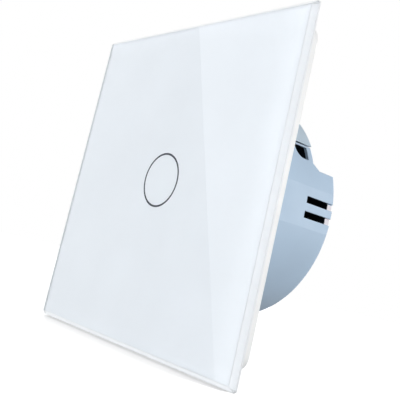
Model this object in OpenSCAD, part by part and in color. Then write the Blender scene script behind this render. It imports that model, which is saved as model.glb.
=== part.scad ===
// Touch light switch: a square glass touch panel that clips over a steel mounting plate, with a
// round wall-box housing behind it that holds the circuit boards and the screw terminals.
// +X is right and +Z is up as seen from the room, +Y points into the wall, and the origin is the
// centre of the wall plane, midway between the two wall-box screws. All sizes are in millimetres.

/* [Glass panel] */
// Width of the glass
glass_w = 80; // [78:0.5:90]
// Height of the glass
glass_h = 80; // [78:0.5:90]
// Thickness of the glass
glass_t = 2; // [1.9:0.1:5]
// Polished bevel along the front edges
glass_bevel = 1.1; // [0.3:0.1:1.2]
// Smaller bevel along the back edges
glass_arris = 0.6; // [0.2:0.1:0.6]
// Radius of the upright corner edges of the glass
glass_corner = 1; // [0.2:0.1:2]
// Thickness of the white print on the back of the glass
print_t = 0.15; // [0.1:0.05:0.4]
// Border of bare glass round the print
print_border = 0.7; // [0.6:0.1:1.5]
// Diameter of the printed touch ring, to the middle of its line
ring_d = 13; // [10:0.2:16]
// Width of the ring's line
ring_line = 0.4; // [0.2:0.05:1]

/* [Panel frame] */
// Thickness of the adhesive frame behind the print
tape_t = 0.25; // [0.1:0.05:1]
// Margin of the adhesive inside the frame's face
tape_margin = 0.6; // [0.3:0.1:1.5]
// Distance from the glass edge in to the frame's skirt
frame_inset = 3.5; // [3:0.1:5]
// Depth of the frame, from its face to the end of its skirt
frame_depth = 3.8; // [3:0.1:6]
// Thickness of the frame's face
frame_face_t = 1.2; // [0.8:0.1:1.6]
// Thickness of the frame's skirt
frame_wall = 1.4; // [1:0.1:2]
// Width of the frame's face along each side
frame_rim = 6; // [4:0.1:7]
// Corner radius of the frame
frame_corner = 3; // [1:0.1:6]
// Radius of the opening where it cuts the corners of the frame
frame_opening_r = 34; // [31:0.5:35]
// Gap between the skirt and the wall
wall_gap = 0.3; // [0.1:0.1:1]
// Radius of the four push-in pegs
peg_r = 1.5; // [1:0.1:2]
// Place of the pegs, in from the outside of the frame
peg_inset = 8.5; // [7:0.1:9]
// Length of the tapered tip of a peg
peg_tip = 0.5; // [0.2:0.1:0.8]
// Radial clearance of a peg in its hole
peg_clear = 0.08; // [0.02:0.01:0.1]

/* [Mounting plate] */
// Thickness of the steel plate
plate_t = 1; // [0.8:0.1:1.2]
// Gap between the plate's edge and the frame's skirt
plate_clear = 1.1; // [0.4:0.1:1.5]
// Corner radius of the plate
plate_corner = 3; // [1:0.1:6]
// Distance between the two wall-box screws of a pair
box_pitch = 60; // [60:0.1:61]
// Width of the slots for the wall-box screws
slot_w = 3.8; // [3.4:0.1:4.2]
// Length of the slots for the wall-box screws
slot_len = 4.6; // [4.4:0.1:5.4]
// Depth of the seat for the housing, pressed into the back of the plate
seat_t = 0.3; // [0.2:0.05:0.5]
// Radial clearance of the housing in its seat
seat_clear = 0.2; // [0.1:0.05:0.4]
// Radius of the hole for the touch module
plate_hole_r = 20; // [19:0.1:20.5]

/* [Plate screws] */
// Distance of the plate screws from the centre
plate_screw_r = 23.6; // [23.3:0.1:23.8]
// Angle of the upper plate screws above the horizontal
upper_screw_angle = 20; // [16:1:24]
// Angle of the lower plate screws below the horizontal
lower_screw_angle = 45; // [35:1:55]
// Shank radius of the plate screws
plate_shank_r = 1.25; // [1:0.05:1.4]
// Shank length of the plate screws below the head
plate_shank_len = 8; // [5:0.5:10]
// Head radius of the plate screws
plate_head_r = 2; // [1.8:0.05:2.2]
// Head height of the plate screws
plate_head_h = 1.5; // [1:0.1:1.8]
// Radial clearance of the plate screws in the plate
plate_screw_clear = 0.25; // [0.1:0.05:0.5]
// Outside radius of the screw bosses in the housing
boss_r = 2.6; // [2.2:0.1:2.8]
// Depth of the bosses' pilot holes
pilot_depth = 10; // [8.5:0.5:12]
// Radial clearance of the screws in the bosses
pilot_clear = 0.05; // [0.02:0.01:0.1]

/* [Housing] */
// Diameter of the round housing
drum_d = 55.6; // [54.8:0.1:56]
// Depth of the housing behind the wall plane
drum_depth = 26; // [25.5:0.1:32]
// Thickness of the side wall
drum_wall = 1.2; // [1:0.1:1.4]
// Thickness of the rear wall
drum_back_t = 1.6; // [1.2:0.1:2.2]
// Rounding of the rear rim
drum_round = 1.1; // [0.3:0.1:1.2]
// Depth of the flats on the two sides
flat_depth = 0.42; // [0.3:0.02:0.7]
// Turn of the flats and their vents up from the horizontal, in degrees
flat_turn = 1.4; // [0:0.1:2]
// Height of the vents in the flats
vent_h = 1.6; // [1:0.1:2]
// Distance between the two vents of a flat
vent_pitch = 3.5; // [3:0.1:4]
// Length of the vents from the rear rim
vent_len = 9.5; // [5:0.5:12]
// Depth of the vents where they cross the rear wall
vent_groove = 0.6; // [0.3:0.1:1]
// Width of the ribs that carry the power board
rib_w = 1.6; // [1:0.1:2.4]
// Height of those ribs, in from the side wall
rib_h = 1.8; // [1.4:0.1:2]

/* [Wiring bay] */
// Height of the wiring shelf above the centre
shelf_z = 10; // [9.5:0.1:10.4]
// Thickness of the shelf
shelf_t = 1.6; // [1:0.1:2]
// Depth of the bay, from the rear rim to the bay's wall
bay_depth = 7.8; // [7:0.1:8]
// Thickness of the bay's wall
bay_wall = 1.6; // [1:0.1:2]
// Reach of the sloped corner along the shelf
bay_slope_y = 2; // [0.5:0.1:3]
// Rise of the sloped corner up the bay's wall
bay_slope_z = 1.4; // [0.4:0.1:1.5]
// Distance of the side windows above the shelf
window_rise = 1.7; // [1:0.1:1.8]
// Height of the side windows
window_h = 3; // [2:0.1:3.1]
// Length of the side windows, forward from the bay's wall
window_len = 4.3; // [2.5:0.1:6]
// Radius of the lower front corner of the side windows
window_corner = 2.6; // [0.5:0.1:2.8]

/* [Touch module] */
// Thickness of the cover's face and skirt
cover_wall = 1.2; // [0.8:0.1:1.6]
// Radial clearance of the cover in the plate's hole
cover_clear = 0.6; // [0.3:0.1:0.8]
// Gap between the cover and the print
cover_gap = 0.45; // [0.3:0.05:0.8]
// Width of the cover's flange on the plate, past the hole
cover_flange = 1; // [0.6:0.1:1.2]
// Thickness of the cover's flange
cover_flange_t = 1; // [0.6:0.1:1.2]
// Reach of the cover's hooks behind the plate
hook_reach = 0.5; // [0.2:0.1:0.8]
// Height of the cover's hooks
hook_h = 0.7; // [0.4:0.1:0.75]
// Gap between the hooks and the plate
hook_gap = 0.05; // [0.02:0.01:0.1]
// Arc of each hook, in degrees
hook_arc = 24; // [12:1:40]
// Radius of the posts that carry the touch board
post_r = 1.6; // [1.2:0.1:2]
// Distance of those posts from the centre
post_place = 15.4; // [13:0.1:16]
// Radius of the stakes through the touch board
stake_r = 0.7; // [0.4:0.05:0.9]
// Length of a stake past the touch board
stake_out = 0.4; // [0.2:0.1:0.8]
// Clearance of a stake in its hole
stake_clear = 0.1; // [0.05:0.05:0.2]
// Outside radius of the light guide
guide_r = 8; // [7.5:0.1:9]
// Bore radius of the light guide
guide_bore_r = 3.6; // [3.2:0.1:4]
// Gap between the light guide and the print
guide_gap = 0.25; // [0.1:0.05:0.4]
// Radial clearance of the light guide in the cover
guide_clear = 0.15; // [0.05:0.05:0.3]
// Reach of the light guide's collar behind the cover
guide_collar = 1.2; // [0.8:0.1:2]
// Thickness of that collar
guide_collar_t = 1; // [0.6:0.1:1.4]
// Mean radius of the touch spring
spring_r = 2.3; // [1.8:0.1:2.6]
// Radius of the spring wire
spring_wire_r = 0.25; // [0.2:0.05:0.3]
// Turns of the touch spring
spring_turns = 4; // [3:1:4]
// Gap between the spring and the print
spring_gap = 0.1; // [0.05:0.05:0.3]

/* [Touch board] */
// Radius of the touch board
touch_board_r = 19.2; // [18.8:0.1:19.4]
// Thickness of the touch board
touch_board_t = 1.2; // [0.8:0.1:1.6]
// Distance of the touch board behind the wall plane
touch_board_y = 0.8; // [0.8:0.1:1.2]
// Distance of the indicator lamps from the centre
led_place = 5.8; // [5.6:0.1:6]
// Length of an indicator lamp
led_l = 2; // [1.6:0.1:2.2]
// Width of an indicator lamp
led_w = 1.25; // [0.8:0.05:1.4]
// Height of an indicator lamp
led_h = 0.75; // [0.4:0.05:1]
// Clearance of the lamps in the light guide
led_clear = 0.4; // [0.3:0.05:0.6]
// Length of the touch chip's body
chip_l = 4.9; // [4:0.1:6]
// Width of the touch chip's body
chip_w = 3.9; // [3:0.1:4.5]
// Height of the touch chip
chip_h = 1.5; // [1:0.1:1.8]
// Pitch of the chip's legs
chip_pitch = 1.27; // [1:0.01:1.3]
// Width of a chip leg
leg_w = 0.42; // [0.3:0.02:0.6]
// Thickness of a chip leg
leg_t = 0.22; // [0.15:0.01:0.3]
// Reach of a chip leg past the body
leg_reach = 1.05; // [0.6:0.05:1.4]
// Height of the touch chip above or below the centre
chip_z = -4; // [-7:0.1:3]
// Length of a small passive
passive_l = 1.6; // [1:0.1:2]
// Width of a small passive
passive_w = 0.8; // [0.5:0.1:1.2]
// Height of a small passive
passive_h = 0.5; // [0.3:0.05:0.8]
// Pitch of the row of small passives
passive_pitch = 2.6; // [2.2:0.1:3]
// Count of small passives
passive_count = 6; // [2:1:7]
// Height of the row of small passives
passive_z = -10; // [-13:0.1:-8.5]

/* [Board connector] */
// Count of pins
pin_count = 6; // [3:1:6]
// Pitch of the pins
pin_pitch = 2.54; // [2:0.01:2.54]
// Side of a square pin
pin_w = 0.64; // [0.5:0.01:0.7]
// Clearance of a pin in the socket
pin_clear = 0.13; // [0.05:0.01:0.2]
// Width of the header and the socket
connector_w = 2.5; // [2:0.1:3]
// Thickness of the header
header_t = 1; // [0.8:0.1:1.4]
// Height of the socket
socket_t = 2; // [2:0.1:3]
// Length of a pin in the socket
pin_len = 1.8; // [1:0.1:1.9]
// Height of the connector above the centre
connector_z = 11; // [5:0.1:12]

/* [Power board] */
// Thickness of the power board
power_board_t = 1.6; // [1.2:0.1:2]
// Gap between the power board and the side wall
power_board_clear = 0.6; // [0.3:0.1:0.8]
// Gap between the power board and the bosses
notch_clear = 0.4; // [0.2:0.1:0.8]
// Length of the relay
relay_l = 19; // [15:0.1:20]
// Width of the relay
relay_w = 15.2; // [12:0.1:15.6]
// Gap between the relay and the rear wall
relay_gap = 2.6; // [0.5:0.1:5]
// Height of the relay's middle
relay_z = -12.5; // [-13:0.1:-12]
// Length of the film capacitor
film_l = 13; // [10:0.1:13.4]
// Width of the film capacitor
film_w = 6; // [4:0.1:7]
// Height of the film capacitor
film_h = 12; // [8:0.1:13]
// Place of the film capacitor across the board
film_x = -2; // [-2.2:0.1:-1.5]
// Height of the film capacitor's middle
film_z = 2.5; // [1:0.1:3]
// Radius of the smoothing capacitor
can_r = 4; // [2.5:0.1:4.2]
// Height of the smoothing capacitor
can_h = 12; // [8:0.1:14]
// Place of the smoothing capacitor across the board
can_x = 14.6; // [14.2:0.1:15.5]
// Height of the smoothing capacitor's middle
can_z = -4; // [-5:0.1:-3.5]
// Length of the rectifier
bridge_l = 6.5; // [5:0.1:7]
// Width of the rectifier
bridge_w = 4.8; // [4:0.1:5.2]
// Height of the rectifier
bridge_h = 2.5; // [2:0.1:3]
// Place of the rectifier across the board
bridge_x = 9.6; // [9:0.1:10.5]
// Height of the rectifier's middle
bridge_z = 4.6; // [4:0.1:5]
// Radius of the varistor disc
varistor_r = 3.5; // [2.5:0.1:3.8]
// Thickness of the varistor disc
varistor_t = 3.6; // [2.5:0.1:4]
// Place of the varistor across the board
varistor_x = -14.5; // [-15:0.1:-13]
// Height of the varistor's middle
varistor_z = -4.5; // [-5.5:0.1:-4]
// Length of the fusible resistor's body
fuse_l = 7; // [5:0.1:8]
// Radius of the fusible resistor's body
fuse_r = 1.6; // [1:0.1:2]
// Place of the fusible resistor across the board
fuse_x = -14; // [-14.5:0.1:-13.8]
// Height of the fusible resistor's middle
fuse_z = 2.8; // [2:0.1:3]
// Radius of the component leads
lead_r = 0.35; // [0.25:0.05:0.45]
// Height of the leaded components above the board
stand_off = 1; // [0.5:0.1:1.5]

/* [Terminals] */
// Distance between neighbouring terminals
pole_pitch = 9; // [8:0.1:9.4]
// Height of the terminal block's underside above the shelf
block_rise = 5.6; // [5.4:0.1:5.8]
// Gap between the terminal block and the housing
block_gap = 0.45; // [0.1:0.05:0.5]
// Thickness of the terminal block's floor
block_floor = 1.3; // [1:0.1:2]
// Thickness of the roof with the wire entries
block_roof = 2.7; // [2:0.1:3]
// Thickness of the terminal block's rear wall
block_rear = 1.2; // [1:0.1:2]
// Rounding of the terminal block's rear rim and lower rear edge
block_round = 0.8; // [0.2:0.1:1]
// Radius of the wire entries
entry_r = 1.6; // [1.2:0.05:1.7]
// Width of a clamp cage
cage_w = 6.4; // [5.4:0.1:6.8]
// Height of a clamp cage
cage_h = 4.4; // [4:0.1:4.8]
// Thickness of the cage's sides and clamping floor
cage_wall = 1; // [0.6:0.1:1.2]
// Thickness of the cage's threaded wall
cage_thread_t = 1.8; // [1.2:0.1:2.2]
// Clearance round a cage
cage_clear = 0.2; // [0.1:0.05:0.4]
// Distance of an open cage from the power board
cage_board_gap = 0.3; // [0.2:0.05:0.5]
// Way that a cage travels from open to closed
cage_travel = 2.5; // [1:0.5:2.5]
// Gap that stays between a closed cage and its strip
clamp_rest = 0.2; // [0.1:0.05:0.4]
// Thickness of the contact strips
strip_t = 1; // [0.8:0.1:1.2]
// Width of the contact strips
strip_w = 4; // [3:0.1:4.2]
// Gap between a strip and the threaded wall of an open cage
strip_gap = 0.3; // [0.2:0.05:0.5]
// Thickness of a strip's leg
strip_leg_t = 0.8; // [0.6:0.05:0.9]
// Width of a strip's leg where it enters the power board
strip_pin_w = 2; // [1.5:0.1:2.5]
// Gap between a leg and the power board's hole
strip_pin_clear = 0.1; // [0.05:0.05:0.2]
// Radius of the clamp screws' thread
clamp_shank_r = 1.5; // [1.2:0.05:1.6]
// Radial clearance of the thread in its cage
clamp_clear = 0.05; // [0.02:0.01:0.1]
// Gap between the end of a clamp screw and its strip
clamp_tip_gap = 0.05; // [0.02:0.01:0.1]
// Head radius of the clamp screws
clamp_head_r = 2.3; // [2:0.05:2.5]
// Head height of the clamp screws
clamp_head_h = 1.8; // [1.4:0.1:2.2]
// Gap before and behind a clamp screw's head
clamp_head_gap = 0.1; // [0.05:0.05:0.2]
// Radial clearance of a clamp screw's head
clamp_head_clear = 0.2; // [0.1:0.05:0.3]
// Radius of the screwdriver holes
driver_r = 1.9; // [1.5:0.05:1.95]
// Width of the screwdriver slots
driver_slot_w = 0.8; // [0.6:0.05:1]
// Depth of the screwdriver slots
driver_slot_d = 0.9; // [0.5:0.05:1]

/* [Hidden] */
$fn = 64;
// Overshoot of cutting shapes past the faces that they cut
cut = 1;

// Depths of the panel's layers, from the wall forward
frame_back_y = -wall_gap;
frame_front_y = frame_back_y - frame_depth;
print_back_y = frame_front_y - tape_t;
glass_back_y = print_back_y - print_t;
glass_front_y = glass_back_y - glass_t;

// Frame and plate outlines
frame_w = glass_w - 2 * frame_inset;
frame_h = glass_h - 2 * frame_inset;
plate_w = frame_w - 2 * (frame_wall + plate_clear);
plate_h = frame_h - 2 * (frame_wall + plate_clear);
peg_x = frame_w / 2 - peg_inset;
peg_z = frame_h / 2 - peg_inset;

// Housing
drum_r = drum_d / 2;
drum_in_r = drum_r - drum_wall;
flat_x = drum_r - flat_depth;
rear_in_y = drum_depth - drum_back_t;
bay_y = drum_depth - bay_depth;
plate_screw_angles = [
    upper_screw_angle, 180 - upper_screw_angle, 180 + lower_screw_angle, -lower_screw_angle,
];
rib_angles = [-65, -115, 33, 147, -15, 195];

// Touch module
cover_r = plate_hole_r - cover_clear;
cover_front_y = print_back_y + cover_gap;
cover_in_y = cover_front_y + cover_wall;
guide_front_y = print_back_y + guide_gap;
spring_front_y = print_back_y + spring_gap + spring_wire_r;
spring_back_y = touch_board_y - spring_wire_r;
touch_rear_y = touch_board_y + touch_board_t;
header_rear_y = touch_rear_y + header_t;
post_angles = [30, 150, 270];

// Power board
power_front_y = header_rear_y + socket_t;
power_rear_y = power_front_y + power_board_t;
power_board_r = drum_in_r - power_board_clear;
header_l = pin_count * pin_pitch;
relay_h = rear_in_y - power_rear_y - relay_gap;

// Terminals, from the power board to the rear
pole_x = [-pole_pitch, 0, pole_pitch];
block_z = shelf_z + block_rise;
well_z = block_z + block_floor;
leg_top_z = well_z + strip_leg_t + cage_clear;
cage_z = leg_top_z + cage_h / 2 + cage_clear;
well_top_z = cage_z + cage_h / 2 + cage_clear;
block_top_z = well_top_z + block_roof;
cage_front_y = power_rear_y + cage_board_gap;
clamp_floor_y = cage_front_y + cage_wall;
strip_front_y = clamp_floor_y + cage_travel + clamp_rest;
strip_rear_y = strip_front_y + strip_t;
thread_front_y = strip_rear_y + strip_gap;
thread_rear_y = thread_front_y + cage_thread_t;
well_rear_y = thread_rear_y + cage_travel + clamp_head_gap;
head_front_y = well_rear_y + clamp_head_gap;
head_rear_y = head_front_y + clamp_head_h;
block_in_y = head_rear_y + clamp_head_gap;
block_rear_y = block_in_y + block_rear;
entry_y = (clamp_floor_y + strip_front_y) / 2;

// A flat outline in X and Z, made solid from y0 to y1
module slab(y0, y1) {
    translate([0, y1, 0])
        rotate([90, 0, 0])
            linear_extrude(height = y1 - y0)
                children();
}

// A round bar along Y at one place in X and Z
module bar(x, z, r, y0, y1) {
    slab(y0, y1)
        translate([x, z])
            circle(r);
}

// A box given by its middle in X and Z, its size there and its reach in Y
module block_at(x, z, w, h, y0, y1) {
    translate([x - w / 2, y0, z - h / 2])
        cube([w, y1 - y0, h]);
}

// A rectangle with round corners
module round_rect(w, h, r) {
    square([w - 2 * r, h], center = true);
    square([w, h - 2 * r], center = true);
    for (sx = [-1, 1], sz = [-1, 1])
        translate([sx * (w / 2 - r), sz * (h / 2 - r)])
            circle(r);
}

// A straight slot with round ends, along the first axis
module slot(len, w) {
    square([len - w, w], center = true);
    for (s = [-1, 1])
        translate([s * (len - w) / 2, 0])
            circle(d = w);
}

// The bevelled side view of the glass, as wide as the glass and as deep as it is thick
module bevel_profile(w) {
    polygon([
        [-w / 2, glass_back_y - glass_arris], [-w / 2 + glass_arris, glass_back_y],
        [w / 2 - glass_arris, glass_back_y], [w / 2, glass_back_y - glass_arris],
        [w / 2, glass_front_y + glass_bevel], [w / 2 - glass_bevel, glass_front_y],
        [-w / 2 + glass_bevel, glass_front_y], [-w / 2, glass_front_y + glass_bevel],
    ]);
}

// The opening of the panel frame, grown all round
module frame_opening(grow) {
    intersection() {
        square([frame_w - 2 * frame_rim + 2 * grow, frame_h - 2 * frame_rim + 2 * grow], center = true);
        circle(frame_opening_r + grow);
    }
}

// Places its children at the four plate screws
module at_plate_screws() {
    for (a = plate_screw_angles)
        translate([plate_screw_r * cos(a), plate_screw_r * sin(a)])
            children();
}

// Places its children at the three posts of the touch cover
module at_posts() {
    for (a = post_angles)
        translate([post_place * cos(a), post_place * sin(a)])
            children();
}

module glass_panel() {
    color([0.90, 0.93, 0.95])
        intersection() {
            translate([0, 0, -glass_h / 2])
                linear_extrude(height = glass_h)
                    bevel_profile(glass_w);
            rotate([0, 90, 0])
                translate([0, 0, -glass_w / 2])
                    linear_extrude(height = glass_w)
                        bevel_profile(glass_h);
            slab(glass_front_y, glass_back_y)
                round_rect(glass_w, glass_h, glass_corner);
        }
}

module back_print() {
    color("white") {
        slab(glass_back_y, print_back_y)
            difference() {
                square([glass_w - 2 * print_border, glass_h - 2 * print_border], center = true);
                circle(d = ring_d + ring_line);
            }
        bar(0, 0, (ring_d - ring_line) / 2, glass_back_y, print_back_y);
    }
}

module touch_ring() {
    color([0.32, 0.34, 0.38])
        slab(glass_back_y, print_back_y)
            difference() {
                circle(d = ring_d + ring_line);
                circle(d = ring_d - ring_line);
            }
}

module panel_tape() {
    color([0.85, 0.85, 0.82])
        slab(print_back_y, frame_front_y)
            difference() {
                round_rect(frame_w - 2 * tape_margin, frame_h - 2 * tape_margin, frame_corner - tape_margin);
                frame_opening(tape_margin);
            }
}

// One push-in peg, with a tapered tip
module peg() {
    peg_len = frame_depth - frame_face_t;
    rotate([-90, 0, 0])
        rotate_extrude()
            polygon([
                [0, 0], [peg_r, 0], [peg_r, peg_len - peg_tip], [peg_r - peg_tip, peg_len], [0, peg_len],
            ]);
}

module panel_frame() {
    face_back_y = frame_front_y + frame_face_t;
    color("white") {
        slab(frame_front_y, face_back_y)
            difference() {
                round_rect(frame_w, frame_h, frame_corner);
                frame_opening(0);
            }
        slab(face_back_y, frame_back_y)
            difference() {
                round_rect(frame_w, frame_h, frame_corner);
                round_rect(frame_w - 2 * frame_wall, frame_h - 2 * frame_wall, frame_corner - frame_wall / 2);
            }
        for (sx = [-1, 1], sz = [-1, 1])
            translate([sx * peg_x, face_back_y, sz * peg_z])
                peg();
    }
}

module mounting_plate() {
    color([0.72, 0.73, 0.74])
        difference() {
            slab(-plate_t, 0)
                difference() {
                    round_rect(plate_w, plate_h, plate_corner);
                    circle(plate_hole_r);
                    at_plate_screws()
                        circle(plate_shank_r + plate_screw_clear);
                    for (sx = [-1, 1], sz = [-1, 1])
                        translate([sx * peg_x, sz * peg_z])
                            circle(peg_r + peg_clear);
                    for (s = [-1, 1]) {
                        translate([s * box_pitch / 2, 0])
                            slot(slot_len, slot_w);
                        translate([0, s * box_pitch / 2])
                            rotate(90)
                                slot(slot_len, slot_w);
                    }
                }
            bar(0, 0, drum_r + seat_clear, -seat_t, cut);
        }
}

module plate_screws() {
    color([0.75, 0.75, 0.72]) {
        slab(-plate_t - plate_head_h, -plate_t)
            at_plate_screws()
                circle(plate_head_r);
        slab(-plate_t, -plate_t + plate_shank_len)
            at_plate_screws()
                circle(plate_shank_r);
    }
}

// A round body of the housing's radius from y0 to y1, with a rounded rear rim
module drum(y0, y1, rim) {
    translate([0, y0, 0])
        rotate([-90, 0, 0])
            rotate_extrude() {
                square([drum_r, y1 - y0 - rim]);
                square([drum_r - rim, y1 - y0]);
                translate([drum_r - rim, y1 - y0 - rim])
                    circle(rim);
            }
}

// The body of the housing, with a flat on each side
module drum_body() {
    difference() {
        drum(-seat_t, drum_depth, drum_round);
        for (s = [-1, 1])
            rotate([0, -s * flat_turn, 0])
                block_at(s * (flat_x + flat_depth), 0, 2 * flat_depth, drum_d, -seat_t - cut, drum_depth + cut);
    }
}

// The space inside the side wall and the flats, from y0 to y1
module drum_space(y0, y1) {
    intersection() {
        bar(0, 0, drum_in_r, y0, y1);
        block_at(0, 0, 2 * (flat_x - drum_wall), drum_d, y0, y1);
    }
}

// The inside of the housing: full depth below the shelf, and up to the bay's wall above it
module drum_inside() {
    shelf_in_z = shelf_z - shelf_t;
    drum_space(-seat_t - cut, bay_y - bay_wall);
    difference() {
        drum_space(-seat_t - cut, rear_in_y);
        block_at(0, shelf_in_z + drum_r, drum_d, 2 * drum_r, bay_y - bay_wall, drum_depth);
    }
}

// The open bay above the shelf, with a slope in its inner corner
module wiring_bay() {
    bay_top_z = shelf_z + drum_r;
    translate([-drum_r - cut, 0, 0])
        rotate([90, 0, 90])
            linear_extrude(height = drum_d + 2 * cut)
                polygon([
                    [bay_y + bay_slope_y, shelf_z], [drum_depth + cut, shelf_z], [drum_depth + cut, bay_top_z],
                    [bay_y, bay_top_z], [bay_y, shelf_z + bay_slope_z],
                ]);
}

// A rectangle with a round corner at the origin
module corner_rect(len, h, r) {
    translate([r, 0])
        square([len - r, h]);
    translate([0, r])
        square([len, h - r]);
    intersection() {
        square([len, h]);
        translate([r, r])
            circle(r);
    }
}

// The two side windows, cut right across the housing, with a round lower front corner
module side_windows() {
    translate([-drum_r - cut, bay_y - bay_wall - window_len, shelf_z + window_rise])
        rotate([90, 0, 90])
            linear_extrude(height = drum_d + 2 * cut)
                corner_rect(window_len, window_h, window_corner);
}

// The vents of one side: through the side wall, then as grooves across the rear wall to the rim
module vents(side) {
    rotate([0, -side * flat_turn, 0])
        for (s = [-1, 1]) {
            block_at(
                side * (flat_x - drum_wall / 2), s * vent_pitch / 2, drum_wall + 2 * flat_depth, vent_h,
                drum_depth - vent_len, rear_in_y
            );
            block_at(
                side * flat_x, s * vent_pitch / 2, 2 * vent_groove, vent_h,
                rear_in_y - drum_back_t, drum_depth + cut
            );
        }
}

// The ribs and bosses inside the housing
module drum_supports() {
    slab(-seat_t, drum_depth - drum_back_t / 2)
        at_plate_screws()
            circle(boss_r);
    for (a = rib_angles)
        rotate([0, -a, 0])
            block_at(
                drum_in_r - rib_h / 2 + drum_wall / 4, 0, rib_h + drum_wall / 2, rib_w,
                power_rear_y, drum_depth - drum_back_t / 2
            );
}

module base_housing() {
    color([0.71, 0.80, 0.88])
        difference() {
            union() {
                difference() {
                    drum_body();
                    drum_inside();
                }
                intersection() {
                    drum_supports();
                    drum_body();
                }
            }
            wiring_bay();
            block_at(
                0, block_z - block_gap + drum_r, drum_d + cut, 2 * drum_r,
                power_rear_y - block_gap, drum_depth + cut
            );
            side_windows();
            for (side = [-1, 1])
                vents(side);
            slab(-seat_t - cut, pilot_depth)
                at_plate_screws()
                    circle(plate_shank_r + pilot_clear);
        }
}

module touch_cover() {
    color([0.94, 0.94, 0.93]) {
        difference() {
            bar(0, 0, cover_r, cover_front_y, touch_board_y);
            bar(0, 0, cover_r - cover_wall, cover_in_y, touch_board_y + cut);
            bar(0, 0, guide_r + guide_clear, cover_front_y - cut, cover_in_y + cut);
        }
        slab(-plate_t - cover_flange_t, -plate_t)
            difference() {
                circle(plate_hole_r + cover_flange);
                circle(cover_r);
            }
        slab(cover_in_y, touch_board_y)
            at_posts()
                circle(post_r);
        slab(touch_board_y, touch_rear_y + stake_out)
            at_posts()
                circle(stake_r);
        for (a = post_angles)
            translate([0, hook_gap, 0])
                rotate([-90, 0, 0])
                    rotate([0, 0, a - hook_arc / 2])
                        rotate_extrude(angle = hook_arc)
                            translate([cover_r - cover_wall / 2, 0])
                                square([cover_wall / 2 + cover_clear + hook_reach, hook_h]);
    }
}

module light_guide() {
    color([0.93, 0.95, 0.97])
        difference() {
            union() {
                bar(0, 0, guide_r, guide_front_y, touch_board_y);
                bar(0, 0, guide_r + guide_collar, cover_in_y, cover_in_y + guide_collar_t);
            }
            bar(0, 0, guide_bore_r, guide_front_y - cut, touch_board_y + cut);
            slab(touch_board_y - led_h - led_clear, touch_board_y + cut)
                difference() {
                    circle(led_place + led_w / 2 + led_clear);
                    circle(led_place - led_w / 2 - led_clear);
                }
        }
}

// Points of the touch spring's middle line, and the least gap between neighbouring turns
turn_points = 8;
spring_points = turn_points * spring_turns;
spring_pitch = (spring_back_y - spring_front_y) / spring_turns;
function spring_point(i) =
    let (turn = i / turn_points)
        [spring_r * cos(360 * turn), spring_back_y - spring_pitch * turn, spring_r * sin(360 * turn)];
spring_path = [for (i = [0 : spring_points]) spring_point(i)];
spring_turn_gap = min([
    for (i = [0 : spring_points - turn_points], k = [turn_points / 2 : turn_points])
        norm(spring_path[i + k] - spring_path[i]) - 2 * spring_wire_r
]);
echo(least_gap_between_spring_turns = spring_turn_gap);

// A round wire swept along a list of points, with flat ends
module wire(path, r, sides) {
    last = len(path) - 1;
    function heading(i) = let (d = path[min(i + 1, last)] - path[max(i - 1, 0)]) d / norm(d);
    function across(i) = let (c = cross(heading(i), [0, 1, 0])) c / norm(c);
    ring_points = [
        for (i = [0 : last], j = [0 : sides - 1])
            let (u = across(i), v = cross(heading(i), u))
                path[i] + r * (cos(360 * j / sides) * u + sin(360 * j / sides) * v)
    ];
    side_faces = [
        for (i = [0 : last - 1], j = [0 : sides - 1], half = [0, 1])
            let (a = i * sides + j, b = i * sides + (j + 1) % sides)
                half == 0 ? [a, b, b + sides] : [a, b + sides, a + sides]
    ];
    start_faces = [for (j = [1 : sides - 2]) [0, j + 1, j]];
    end_faces = [for (j = [1 : sides - 2]) [last * sides, last * sides + j, last * sides + j + 1]];
    polyhedron(points = ring_points, faces = concat(side_faces, start_faces, end_faces));
}

module touch_spring() {
    color([0.80, 0.78, 0.70])
        wire(spring_path, spring_wire_r, 6);
}

module touch_board() {
    color([0.10, 0.38, 0.22])
        slab(touch_board_y, touch_rear_y)
            difference() {
                circle(touch_board_r);
                at_posts()
                    circle(stake_r + stake_clear);
            }
}

module indicator_leds() {
    color([0.95, 0.92, 0.80])
        for (s = [-1, 1])
            block_at(s * led_place, 0, led_w, led_l, touch_board_y - led_h, touch_board_y);
}

// One side of the chip's legs, with a foot on the board and a shoulder at the body
module chip_legs(side) {
    shoulder_y = touch_rear_y + chip_h / 2;
    for (k = [-1.5 : 1 : 1.5]) {
        foot_z = chip_z + side * (chip_w / 2 + leg_reach * 3 / 4);
        knee_z = chip_z + side * (chip_w / 2 + leg_reach / 2);
        arm_z = chip_z + side * (chip_w / 2 + leg_reach / 4);
        block_at(k * chip_pitch, foot_z, leg_w, leg_reach / 2, touch_rear_y, touch_rear_y + leg_t);
        block_at(k * chip_pitch, knee_z, leg_w, leg_t, touch_rear_y, shoulder_y);
        block_at(k * chip_pitch, arm_z, leg_w, leg_reach / 2 + leg_t, shoulder_y - leg_t, shoulder_y);
    }
}

module touch_chip() {
    color([0.12, 0.12, 0.13]) {
        block_at(0, chip_z, chip_l, chip_w, touch_rear_y + leg_t / 2, touch_rear_y + chip_h);
        for (side = [-1, 1])
            chip_legs(side);
    }
}

module chip_passives() {
    color([0.45, 0.36, 0.28])
        for (i = [0 : passive_count - 1])
            block_at(
                (i - (passive_count - 1) / 2) * passive_pitch, passive_z, passive_w, passive_l,
                touch_rear_y, touch_rear_y + passive_h
            );
}

// Places its children at each pin of the board connector
module at_pins() {
    for (i = [0 : pin_count - 1])
        translate([(i - (pin_count - 1) / 2) * pin_pitch, connector_z])
            children();
}

module board_header() {
    color([0.13, 0.13, 0.14]) {
        block_at(0, connector_z, header_l, connector_w, touch_rear_y, header_rear_y);
        slab(header_rear_y, header_rear_y + pin_len)
            at_pins()
                square(pin_w, center = true);
    }
}

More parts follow.
